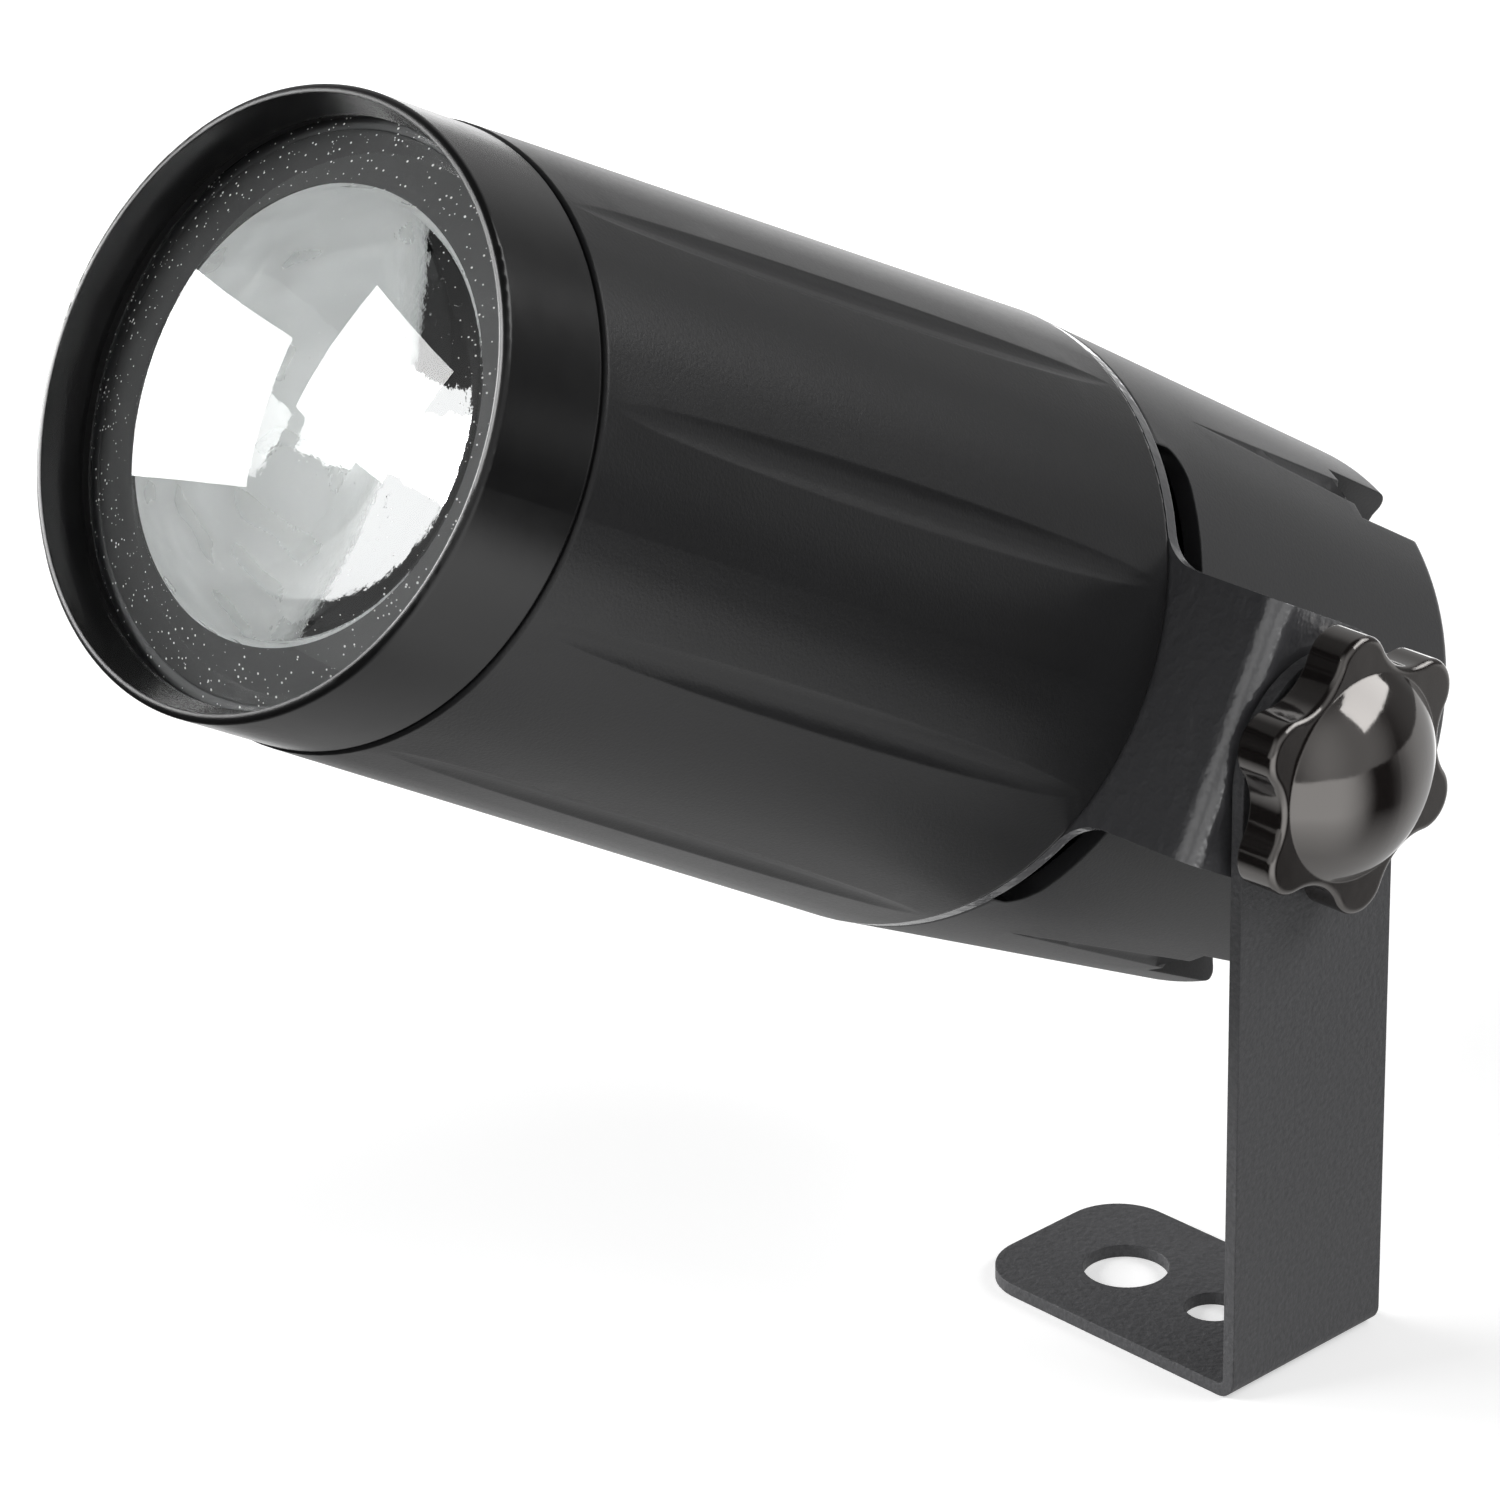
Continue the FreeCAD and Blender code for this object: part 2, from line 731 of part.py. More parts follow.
def ear_gap_tool():
    front = along(plate_end) - wall
    back = along(tail_cut_end)
    corner = tail_cut_round
    half = tail_cut_half
    x = tail_cut_inner_x
    slack = corner * (1.0 - math.sqrt(0.5))
    a = Vector(x, front, -half)
    b = Vector(x, back - corner, -half)
    c = Vector(x, back, corner - half)
    d = Vector(x, back, half - corner)
    e = Vector(x, back - corner, half)
    f = Vector(x, front, half)
    low = Vector(x, back - slack, slack - half)
    high = Vector(x, back - slack, half - slack)
    edges = [Part.makeLine(a, b), Part.Arc(b, low, c).toShape(), Part.makeLine(c, d)]
    edges += [Part.Arc(d, high, e).toShape(), Part.makeLine(e, f), Part.makeLine(f, a)]
    return Part.Face(Part.Wire(edges)).extrude(side_dir * plate_r)


save("tail_shell", tilt(make_tail()))


# Screws: a plain shank with a domed head
def screw(head_front, head_r, head_high, shank_r, shank_long, x, z):
    shank = rod(head_front - shank_long, head_front, shank_r, x, z)
    sphere_r = (head_r ** 2 + head_high ** 2) / (2.0 * head_high)
    ball = Part.makeSphere(sphere_r, spot(head_front + head_high - sphere_r, x, z))
    head = ball.common(rod(head_front, head_front + head_high, head_r, x, z))
    slot = cross_slot(head_front + head_high, head_r, head_high, x, z)
    return fused([shank, head]).cut(slot)


def cross_slot(top, head_r, head_high, x, z):
    long_half = slot_long_share * head_r
    thin_half = slot_wide_share * head_r
    deep = slot_deep_share * head_high
    first = block(top - deep, top + deep, x - long_half, x + long_half, z - thin_half, z + thin_half)
    second = block(top - deep, top + deep, x - thin_half, x + thin_half, z - long_half, z + long_half)
    return first.fuse(second)


def facing_front(shape, station):
    copy = shape.copy()
    copy.rotate(spot(station), up_dir, 180)
    return copy


case_long = channel_start - case_screw_end
case_screw = screw(channel_start, case_screw_head_r, case_screw_head_high, case_screw_r, case_long,
                   case_screw_circle_r, 0.0)
save("housing_screws", tilt(Part.makeCompound(around(case_screw, case_screw_count, case_screw_turn))))

panel_screw = screw(panel_back, panel_screw_head_r, panel_screw_head_high, panel_screw_r, panel_screw_long,
                    panel_boss_circle_r, 0.0)
save("panel_screws", tilt(Part.makeCompound(around(panel_screw, case_screw_count))))


# The latch slides in a way that is cut through the rear panel and the socket alike
def latch_way():
    top = panel_back + socket_flange_thick
    bottom = top - latch_deep - latch_travel - latch_play
    half = latch_half_wide + latch_play
    low = socket_z + latch_low - latch_play
    high = socket_z + latch_high + latch_play
    return block(bottom, top, socket_x - half, socket_x + half, low, high)


# Each socket has two screws, on opposite corners of its flange
def socket_screw_spots(x):
    spots = []
    for turn in socket_screw_turns:
        dx, dz = polar(socket_screw_circle_r, turn)
        spots.append((x + dx, socket_z + dz))
    return spots


# Rear panel: a disc that clears the screw channels, pierced for its fittings
def make_panel():
    panel = rod(panel_front, panel_back, tail_r(panel_front) - wall - panel_play)
    lining = rod(panel_front, panel_back, channel_half + channel_wall + panel_play, case_screw_circle_r)
    for tool in around(lining, case_screw_count, case_screw_turn):
        panel = panel.cut(tool)
    for tool in around(rod(panel_front, panel_back, panel_screw_r, panel_boss_circle_r), case_screw_count):
        panel = panel.cut(tool)
    panel = panel.cut(block(panel_front, panel_back, window_x0, window_x1, window_z0, window_z1))
    for x in button_xs:
        panel = panel.cut(rod(panel_front, panel_back, button_r + button_play, x, button_z))
    for x in (-socket_x, socket_x):
        panel = panel.cut(rod(panel_front, panel_back, socket_body_r, x, socket_z))
        for screw_x, screw_z in socket_screw_spots(x):
            panel = panel.cut(rod(panel_front, panel_back, socket_screw_r, screw_x, screw_z))
    panel = panel.cut(rod(panel_front, panel_back, gland_thread_r, gland_x, gland_z))
    panel = panel.cut(latch_way())
    posts = [rod(control_back, panel_front, post_r, x, post_z) for x in (post_x0, post_x1)]
    return fused([panel] + posts)


save("rear_panel", tilt(make_panel()))


# Display window, with a lip over the panel's edge
def make_window():
    plug = block(panel_front, panel_back, window_x0, window_x1, window_z0, window_z1)
    x0 = window_x0 - window_lip
    x1 = window_x1 + window_lip
    z0 = window_z0 - window_lip
    z1 = window_z1 + window_lip
    cover = block(panel_back, panel_back + window_proud, x0, x1, z0, z1)
    slack = match_share * window_proud
    corners = [edge for edge in cover.Edges if abs(edge.BoundBox.YLength - window_proud) < slack]
    cover = cover.makeFillet(window_corner, corners)
    return fused([plug, cover])


save("display_window", tilt(make_window()))


# Menu buttons: a round cap with a flange that keeps it behind the panel
def make_button(x):
    stem_front = control_back + switch_high + button_travel
    cap = rod(stem_front, panel_back + button_proud, button_r, x, button_z)
    top = [edge for edge in cap.Edges if edge.BoundBox.YMin > along(panel_back)]
    cap = cap.makeFillet(button_round, top)
    flange_back = panel_front
    flange = rod(flange_back - button_flange_thick, flange_back, button_flange_r, x, button_z)
    return fused([cap, flange])


for number, place in enumerate(button_xs):
    save("menu_button_" + str(number + 1), tilt(make_button(place)))


# Control board with four push switches, and the digit block behind the window
def make_control_board():
    board = block(control_front, control_back, control_x0, control_x1, control_z0, control_z1)
    solids = [board]
    for x in button_xs:
        switch = block(control_back, control_back + switch_high, x - switch_half, x + switch_half,
                       button_z - switch_half, button_z + switch_half)
        solids.append(switch)
    return fused(solids)


save("control_board", tilt(make_control_board()))
digits = block(control_back, panel_front, window_x0 + display_margin, window_x1 - display_margin,
               window_z0 + display_margin, window_z1 - display_margin)
save("digit_display", tilt(digits))


# Data sockets: both have the same flange and body round an open cup
def socket_shell(x):
    flange_top = panel_back + socket_flange_thick
    flange = rod(panel_back, flange_top, socket_flange_r, x, socket_z)
    for screw_x, screw_z in socket_screw_spots(x):
        flange = flange.fuse(rod(panel_back, flange_top, socket_pad_r, screw_x, screw_z))
    body = rod(socket_body_end, panel_back, socket_body_r, x, socket_z)
    shell = fused([flange, body])
    shell = shell.cut(rod(flange_top - cup_deep, flange_top, cup_r, x, socket_z))
    for screw_x, screw_z in socket_screw_spots(x):
        shell = shell.cut(rod(panel_back, flange_top, socket_screw_r, screw_x, screw_z))
    return shell


def socket_pins(x, radius, start, end):
    pins = []
    for turn in pin_angles:
        dx, dz = polar(pin_circle_r, turn)
        pins.append(rod(start, end, radius, x + dx, socket_z + dz))
    return pins


cup_floor = panel_back + socket_flange_thick - cup_deep


def make_socket_in():
    shell = socket_shell(-socket_x)
    for pin in socket_pins(-socket_x, pin_r, socket_body_end, cup_floor):
        shell = shell.cut(pin)
    return shell


def make_socket_pins():
    pins = []
    for pin in socket_pins(-socket_x, pin_r, socket_body_end - pin_tail, cup_floor + pin_long):
        tip = [edge for edge in pin.Edges if edge.BoundBox.YMin > along(cup_floor)]
        pins.append(pin.makeFillet(pin_round, tip))
    return Part.makeCompound(pins)


def make_socket_out():
    shell = socket_shell(socket_x)
    face = panel_back + socket_flange_thick - insert_set_back
    shell = shell.fuse(rod(cup_floor, face, insert_r, socket_x, socket_z)).removeSplitter()
    for hole in socket_pins(socket_x, insert_hole_r, cup_floor, face):
        shell = shell.cut(hole)
    return shell.cut(latch_way())


def make_latch():
    top = panel_back + socket_flange_thick
    tab = block(top - latch_deep, top + latch_proud, socket_x - latch_half_wide, socket_x + latch_half_wide,
                socket_z + latch_low, socket_z + latch_high)
    ends = []
    for edge in tab.Edges:
        box = edge.BoundBox
        if box.YMin > along(top) and box.XLength > latch_half_wide:
            ends.append(edge)
    return tab.makeFillet(latch_round, ends)


save("dmx_in_socket", tilt(make_socket_in()))
save("dmx_in_pins", tilt(make_socket_pins()))
save("dmx_out_socket", tilt(make_socket_out()))
save("dmx_out_latch", tilt(make_latch()))


def make_socket_screws():
    screws = []
    top = panel_back + socket_flange_thick
    for x, z in socket_screw_spots(-socket_x) + socket_screw_spots(socket_x):
        screws.append(screw(top, socket_screw_head_r, socket_screw_head_high, socket_screw_r,
                            socket_screw_long, x, z))
    return Part.makeCompound(screws)


save("socket_screws", tilt(make_socket_screws()))


# Cable gland: a threaded body through the panel, a domed cap outside and a nut inside
def make_gland_body():
    hexa = hexagon(panel_back, panel_back + gland_hex_thick, gland_hex_flat, gland_x, gland_z)
    thread = rod(panel_front - gland_inner_long, panel_back, gland_thread_r, gland_x, gland_z)
    body = fused([hexa, thread])
    bore = rod(panel_front - gland_inner_long, panel_back + gland_hex_thick, gland_bore_r, gland_x, gland_z)
    return body.cut(bore)


def make_gland_cap():
    start = panel_back + gland_hex_thick
    shoulder = start + gland_cap_straight
    low = rod(start, shoulder, gland_cap_r, gland_x, gland_z)
    high = Part.makeCone(gland_cap_r, gland_cap_mouth_r, gland_cap_long - gland_cap_straight,
                         spot(shoulder, gland_x, gland_z), axis_dir)
    cap = fused([low, high])
    return cap.cut(rod(start, start + gland_cap_long, gland_bore_r, gland_x, gland_z))


def make_gland_nut():
    nut = hexagon(panel_front - gland_nut_thick, panel_front, gland_hex_flat, gland_x, gland_z)
    return nut.cut(rod(panel_front - gland_nut_thick, panel_front, gland_thread_r, gland_x, gland_z))


save("gland_body", tilt(make_gland_body()))
save("gland_cap", tilt(make_gland_cap()))
save("gland_nut", tilt(make_gland_nut()))


# Light engine: baffle, reflector cone, emitter on its board, finned heat sink
def make_baffle():
    return tube(baffle_front, tunnel_mouth, neck_inner_r, baffle_inner_r)


# The cone's mouth has a flange behind the baffle, and a sleeve that stands on the barrel's rib
def make_reflector():
    behind = tunnel_mouth + tunnel_wall
    path = [(tunnel_mouth, tunnel_mouth_r), (tunnel_mouth, tunnel_flange_r), (rib_front, tunnel_flange_r)]
    path += [(rib_front, tunnel_flange_r - tunnel_wall), (behind, tunnel_flange_r - tunnel_wall)]
    path += [(behind, tunnel_mouth_r + tunnel_wall), (led_board_front, tunnel_end_r + tunnel_wall)]
    path += [(led_board_front, tunnel_end_r)]
    return turned(path)


save("baffle_ring", tilt(make_baffle()))
save("reflector_cone", tilt(make_reflector()))


def make_emitter():
    start = led_board_front - emitter_base_thick
    base = block(start, led_board_front, -emitter_half, emitter_half, -emitter_half, emitter_half)
    dome = Part.makeSphere(emitter_dome_r, spot(start))
    keep = rod(start - emitter_dome_r, led_board_front, emitter_dome_r)
    return fused([base, dome.common(keep)])


def make_led_board():
    board = rod(led_board_front, heat_sink_front, led_board_r)
    for tool in around(rod(led_board_front, heat_sink_front, led_screw_r, 0.0, led_screw_circle_r), 2):
        board = board.cut(tool)
    return board


def make_heat_sink():
    base = rod(heat_sink_front, barrel_end, heat_sink_r)
    column = rod(barrel_end, fin_end, fin_zone_r)
    pitch = (2.0 * fin_zone_r - fin_thick) / fin_count
    fins = []
    for k in range(fin_count):
        x = pitch * (k - 0.5 * (fin_count - 1))
        slab = block(barrel_end, fin_end, x - 0.5 * fin_thick, x + 0.5 * fin_thick, -fin_zone_r, fin_zone_r)
        fins.append(slab.common(column))
    sink = fused([base] + fins)
    for tool in around(rod(heat_sink_front, barrel_end, sink_screw_r, sink_screw_circle_r), case_screw_count):
        sink = sink.cut(tool)
    screw_end = led_board_front + led_screw_long
    for tool in around(rod(heat_sink_front, screw_end, led_screw_r, 0.0, led_screw_circle_r), 2):
        sink = sink.cut(tool)
    return sink


save("led_emitter", tilt(make_emitter()))
save("led_board", tilt(make_led_board()))
save("heat_sink", tilt(make_heat_sink()))


# Screws that face the front of the lamp are made facing the rear and turned round
def front_screw(head_back, head_r, head_high, shank_r, shank_long, x, z):
    made = screw(head_back, head_r, head_high, shank_r, shank_long, -x, z)
    return facing_front(made, head_back)


sink_long = plate_end - heat_sink_front
sink_screw = front_screw(heat_sink_front, sink_screw_head_r, sink_screw_head_high, sink_screw_r, sink_long,
                         sink_screw_circle_r, 0.0)
save("heat_sink_screws", tilt(Part.makeCompound(around(sink_screw, case_screw_count))))

led_screw = front_screw(led_board_front, led_screw_head_r, led_screw_head_high, led_screw_r, led_screw_long,
                        0.0, led_screw_circle_r)
save("led_board_screws", tilt(Part.makeCompound(around(led_screw, 2))))


# Driver board across the tail, with its tall parts towards the heat sink
def make_driver_board():
    board = rod(driver_front, driver_back, driver_r)
    for tool in around(rod(driver_front, driver_back, tail_boss_r + driver_play, case_screw_circle_r),
                       case_screw_count, case_screw_turn):
        board = board.cut(tool)
    for tool in around(rod(driver_front, driver_back, panel_screw_r, panel_boss_circle_r), case_screw_count):
        board = board.cut(tool)
    for pin in socket_pins(-socket_x, pin_r + driver_play, driver_front, driver_back):
        board = board.cut(pin)
    return board


def make_driver_parts():
    solids = []
    half = transformer_half
    solids.append(block(driver_front - transformer_high, driver_front, -half, half, -half, half))
    for x in (-part_offset, part_offset):
        solids.append(rod(driver_front - capacitor_high, driver_front, capacitor_r, x, part_offset))
        solids.append(rod(driver_front - coil_high, driver_front, coil_r, x, -part_offset))
    return Part.makeCompound(solids)


board_screw = front_screw(driver_front, panel_screw_head_r, panel_screw_head_high, panel_screw_r,
                          panel_screw_long - panel_thick, panel_boss_circle_r, 0.0)
save("driver_board", tilt(make_driver_board()))
save("driver_parts", tilt(make_driver_parts()))
save("driver_screws", tilt(Part.makeCompound(around(board_screw, case_screw_count))))

for name, solids, volume in saved:
    print(name, solids, volume)
print("nodes", len(saved))
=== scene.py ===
import bpy, bmesh, json, math
from mathutils import Matrix, Vector


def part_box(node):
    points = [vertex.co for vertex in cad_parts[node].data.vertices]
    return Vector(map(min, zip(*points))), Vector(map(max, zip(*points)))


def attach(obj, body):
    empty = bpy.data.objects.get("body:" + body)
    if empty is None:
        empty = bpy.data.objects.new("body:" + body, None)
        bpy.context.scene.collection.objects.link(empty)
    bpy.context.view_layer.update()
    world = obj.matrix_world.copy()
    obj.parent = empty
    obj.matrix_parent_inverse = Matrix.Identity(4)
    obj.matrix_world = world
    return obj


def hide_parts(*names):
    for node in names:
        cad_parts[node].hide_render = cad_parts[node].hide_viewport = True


# A pinspot light on a one-sided bracket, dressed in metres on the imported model's frame.
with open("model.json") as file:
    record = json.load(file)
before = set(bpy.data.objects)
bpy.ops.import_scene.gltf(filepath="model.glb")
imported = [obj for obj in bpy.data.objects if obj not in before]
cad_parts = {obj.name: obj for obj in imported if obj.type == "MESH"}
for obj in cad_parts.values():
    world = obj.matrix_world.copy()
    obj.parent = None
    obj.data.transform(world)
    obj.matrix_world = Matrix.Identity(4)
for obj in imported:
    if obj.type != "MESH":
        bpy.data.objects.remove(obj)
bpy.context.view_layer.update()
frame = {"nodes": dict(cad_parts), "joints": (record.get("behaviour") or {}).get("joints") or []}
solids = frame["nodes"]
scene = bpy.context.scene


# Camera: a long lens to the right of the lamp and a little above it, where the photographer stood.
# Its place, turn and focal length come from the outlines of the lamp in the photograph.
camera_azimuth = math.radians(46.68)
camera_elevation = math.radians(24.28)
camera_roll = math.radians(-1.14)
camera_spot = Vector((0.53842, -0.58316, 0.44538))
camera = bpy.data.objects.new("camera", bpy.data.cameras.new("camera"))
scene.collection.objects.link(camera)
camera.data.lens = 144.56
camera.data.sensor_width = 36.0


def outward(azimuth, elevation):
    level = math.cos(elevation)
    return Vector((math.sin(azimuth) * level, -math.cos(azimuth) * level, math.sin(elevation)))


to_camera = outward(camera_azimuth, camera_elevation)
camera_right = Vector((math.cos(camera_azimuth), math.sin(camera_azimuth), 0.0))
upright = Matrix((camera_right, to_camera.cross(camera_right), to_camera)).transposed()
rolled = upright @ Matrix.Rotation(camera_roll, 3, "Z")
camera.matrix_world = Matrix.Translation(camera_spot) @ rolled.to_4x4()
scene.camera = camera
scene.view_settings.view_transform = "Standard"


# Studio table: white laminate under the foot, which runs on behind as the backdrop.
# The camera sees it white with a soft shadow. In mirrors it is pale near the lamp and uneven
# further off: bright to the right and at the rear, where light falls on it, and dim elsewhere.
def shade(code):
    parts = [int(code[k:k + 2], 16) / 255.0 for k in (1, 3, 5)]
    return (*[c / 12.92 if c < 0.04045 else ((c + 0.055) / 1.055) ** 2.4 for c in parts], 1.0)


def add(tree, kind, settings, links):
    made = tree.nodes.new("ShaderNode" + kind)
    for name, value in settings.items():
        if isinstance(name, int) or name in made.inputs:
            made.inputs[name].default_value = value
        else:
            setattr(made, name, value)
    for name, source in links.items():
        tree.links.new(source, made.inputs[name])
    return made


def finish(name):
    material = bpy.data.materials.new(name)
    material.use_nodes = True
    material.node_tree.nodes.clear()
    return material, material.node_tree


def pools(tree, heading, lowest, places):
    total = None
    for azimuth, elevation, inside, outside, strength in places:
        middle = outward(math.radians(azimuth), math.radians(elevation))
        near = add(tree, "VectorMath", {"operation": "DOT_PRODUCT", 1: middle}, {0: heading})
        pool = add(tree, "MapRange",
                   {"interpolation_type": "SMOOTHSTEP", "From Min": math.cos(math.radians(outside)),
                    "From Max": math.cos(math.radians(inside)), "To Max": strength},
                   {"Value": near.outputs["Value"]})
        if total is None:
            total = add(tree, "Math", {"operation": "ADD", 1: lowest}, {0: pool.outputs[0]})
        else:
            total = add(tree, "Math", {"operation": "ADD"}, {0: total.outputs[0], 1: pool.outputs[0]})
    return total.outputs[0]


def straight_ray(tree):
    path = add(tree, "LightPath", {}, {})
    return add(tree, "Math", {"operation": "MAXIMUM"},
               {0: path.outputs["Is Camera Ray"], 1: path.outputs["Is Transmission Ray"]})


# Where the table is bright in mirrors: azimuth, elevation, degrees inside and outside, strength.
bright_sweeps = (
    (62.0, 0.0, 12.0, 48.0, 1.5),
    (180.0, 0.0, 15.0, 60.0, 0.8),
    (240.0, 0.0, 15.0, 60.0, 1.9),
)
dim_sweep = 0.02
near_lamp = 0.65
mm = 0.001
near_ends, far_begins = 80.0 * mm, 200.0 * mm
shadow_ends, white_begins = 300.0 * mm, 800.0 * mm
shadow_lift = 0.45

laminate, tree = finish("white laminate table top")
place = add(tree, "TexCoord", {}, {})
reach = add(tree, "VectorMath", {"operation": "LENGTH"}, {0: place.outputs["Object"]})
far = add(tree, "MapRange", {"From Min": near_ends, "From Max": far_begins},
          {"Value": reach.outputs["Value"]})
heading = add(tree, "VectorMath", {"operation": "NORMALIZE"}, {0: place.outputs["Object"]})
around = pools(tree, heading.outputs["Vector"], dim_sweep, bright_sweeps)
mirror_level = add(tree, "Mix", {2: near_lamp}, {0: far.outputs[0], 3: around})
mirrored = add(tree, "Emission", {"Color": shade("#ffffff")}, {"Strength": mirror_level.outputs[0]})
fade = add(tree, "MapRange", {"From Min": shadow_ends, "From Max": white_begins, "To Min": shadow_lift},
           {"Value": reach.outputs["Value"]})
lift = add(tree, "Math", {"operation": "MULTIPLY"},
           {0: straight_ray(tree).outputs[0], 1: fade.outputs[0]})
glow = add(tree, "Emission", {"Color": shade("#ffffff")}, {"Strength": lift.outputs[0]})
cast = add(tree, "BsdfDiffuse", {"Color": shade("#e6e6e6")}, {})
seen = add(tree, "AddShader", {}, {0: cast.outputs[0], 1: glow.outputs[0]})
path = add(tree, "LightPath", {}, {})
top = add(tree, "MixShader", {},
          {0: path.outputs["Is Glossy Ray"], 1: seen.outputs[0], 2: mirrored.outputs[0]})
add(tree, "OutputMaterial", {}, {"Surface": top.outputs[0]})

table_half = 4.0
table_below = 0.1 * mm
mesh = bpy.data.meshes.new("table")
bm = bmesh.new()
bmesh.ops.create_grid(bm, x_segments=1, y_segments=1, size=table_half,
                      matrix=Matrix.Translation((0.0, 0.0, -table_below)))
bm.to_mesh(mesh)
bm.free()
table = bpy.data.objects.new("table", mesh)
scene.collection.objects.link(table)
mesh.materials.append(laminate)


# Studio light: soft light from the room in a few broad pools, and three soft boxes with clear edges.
# Each box is placed by its azimuth and elevation from the lamp, and spans so many degrees there.
# The room's pools are listed by azimuth with their strength, and all lie at one height.
pool_strengths = {0.0: 0.5, 45.0: 0.25, 90.0: 0.5, 180.0: 0.15, 225.0: 0.35, 270.0: 0.2}
pool_elevation, pool_inside, pool_outside = 15.0, 15.0, 50.0
dim_room = 0.03
room_pools = [(azimuth, pool_elevation, pool_inside, pool_outside, strength)
              for azimuth, strength in pool_strengths.items()]

world = bpy.data.worlds.new("studio")
world.use_nodes = True
scene.world = world
tree = world.node_tree
tree.nodes.clear()
coordinates = add(tree, "TexCoord", {}, {})
room = pools(tree, coordinates.outputs["Generated"], dim_room, room_pools)
level = add(tree, "Mix", {3: 1.0}, {0: straight_ray(tree).outputs[0], 2: room})
light = add(tree, "Background", {"Color": shade("#ffffff")}, {"Strength": level.outputs[0]})
add(tree, "OutputWorld", {}, {"Surface": light.outputs[0]})

lamp_middle = Vector((-0.03, -0.04, 0.12))
box_distance = 1.3


def soft_box(name, azimuth, elevation, wide, tall, strength, lean):
    light = bpy.data.lights.new(name, "AREA")
    light.shape = "RECTANGLE"
    light.size = 2.0 * box_distance * math.tan(math.radians(0.5 * wide))
    light.size_y = 2.0 * box_distance * math.tan(math.radians(0.5 * tall))
    light.energy = strength * math.pi * light.size * light.size_y
    box = bpy.data.objects.new(name, light)
    scene.collection.objects.link(box)
    away = outward(math.radians(azimuth), math.radians(elevation))
    aim = away.to_track_quat("Z", "Y").to_matrix() @ Matrix.Rotation(math.radians(lean), 3, "Z")
    box.matrix_world = Matrix.Translation(lamp_middle + away * box_distance) @ aim.to_4x4()


soft_box("box before the lens", azimuth=-31.0, elevation=30.0, wide=19.0, tall=16.0,
         strength=14.0, lean=0.0)
soft_box("box above the knob", azimuth=135.0, elevation=37.0, wide=48.0, tall=26.0,
         strength=4.0, lean=0.0)
soft_box("box at the left", azimuth=-67.0, elevation=9.5, wide=44.0, tall=17.0,
         strength=12.0, lean=26.0)


# Where the lamp lies: its own axis runs through the lens, and it tilts about the bracket's joint.
# Measures of a round piece are read from its solid: front and rear station, and largest radius.
rest_tilt = math.radians(29.0)
tilt_joint = next(joint for joint in frame["joints"] if joint["name"] == "tilt")
lens_low, lens_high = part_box("lens")
pivot = Vector((0.5 * (lens_low.x + lens_high.x), tilt_joint["pos_m"][1], tilt_joint["pos_m"][2]))
lamp_place = Matrix.Translation(pivot) @ Matrix.Rotation(-rest_tilt, 4, "X")
lamp_inverse = lamp_place.inverted()


def measured(name):
    points = [lamp_inverse @ v.co for v in solids[name].data.vertices]
    stations = [p.y for p in points]
    return min(stations), max(stations), max(math.hypot(p.x, p.z) for p in points)


# Bracket: a strip of 2 mm steel bent to an L, punched and powder coated in a fine texture.
# The coat is a dark grey that breaks the light into small dull grains and rounds the edges.
# Its two tones and its grain are drawn a touch coarser than the real ones, so that they show.
def surfaced(name, colours, patch, grain, depth, edge_round, roughness, settings):
    material, tree = finish(name)
    place = add(tree, "TexCoord", {}, {})
    clouds = add(tree, "TexNoise", {"Scale": 1.0 / patch, "Detail": 3.0},
                 {"Vector": place.outputs["Object"]})
    tint = add(tree, "Mix", {"data_type": "RGBA", 6: shade(colours[0]), 7: shade(colours[1])},
               {0: clouds.outputs[0]})
    grit = add(tree, "TexNoise", {"Scale": 1.0 / grain, "Detail": 2.0, "Roughness": 0.6},
               {"Vector": place.outputs["Object"]})
    edge = add(tree, "Bevel", {"samples": 4, "Radius": edge_round}, {})
    bump = add(tree, "Bump", {"Strength": 1.0, "Distance": depth},
               {"Height": grit.outputs[0], "Normal": edge.outputs[0]})
    rough = add(tree, "MapRange", {"To Min": roughness[0], "To Max": roughness[1]},
                {"Value": grit.outputs[0]})
    skin = add(tree, "BsdfPrincipled", settings,
               {"Base Color": tint.outputs[2], "Roughness": rough.outputs[0],
                "Normal": bump.outputs[0], "Coat Normal": bump.outputs[0]})
    add(tree, "OutputMaterial", {}, {"Surface": skin.outputs[0]})
    return material


def dress(names, material):
    for name in names:
        slots = solids[name].data.materials
        slots.clear()
        slots.append(material)


powder_coat = surfaced(
    "black powder coat in a fine texture on steel", ("#363638", "#565658"), patch=0.8 * mm, grain=0.9 * mm,
    depth=0.22 * mm, edge_round=0.35 * mm, roughness=(0.48, 0.66), settings={"IOR": 1.5})
dress(["mounting_bracket"], powder_coat)


# Yoke plate: the same sheet and coat, but laid on thinner and smoother, so it is shinier.
# Its bend shows the coat's orange peel as a wavy streak of light.
satin_coat = surfaced(
    "black satin powder coat on steel", ("#47474a", "#505052"), patch=12.0 * mm, grain=2.6 * mm,
    depth=0.22 * mm, edge_round=0.15 * mm, roughness=(0.30, 0.40),
    settings={"IOR": 1.5, "Coat Weight": 1.0, "Coat IOR": 1.95, "Coat Roughness": 0.15})
dress(["yoke_plate"], satin_coat)


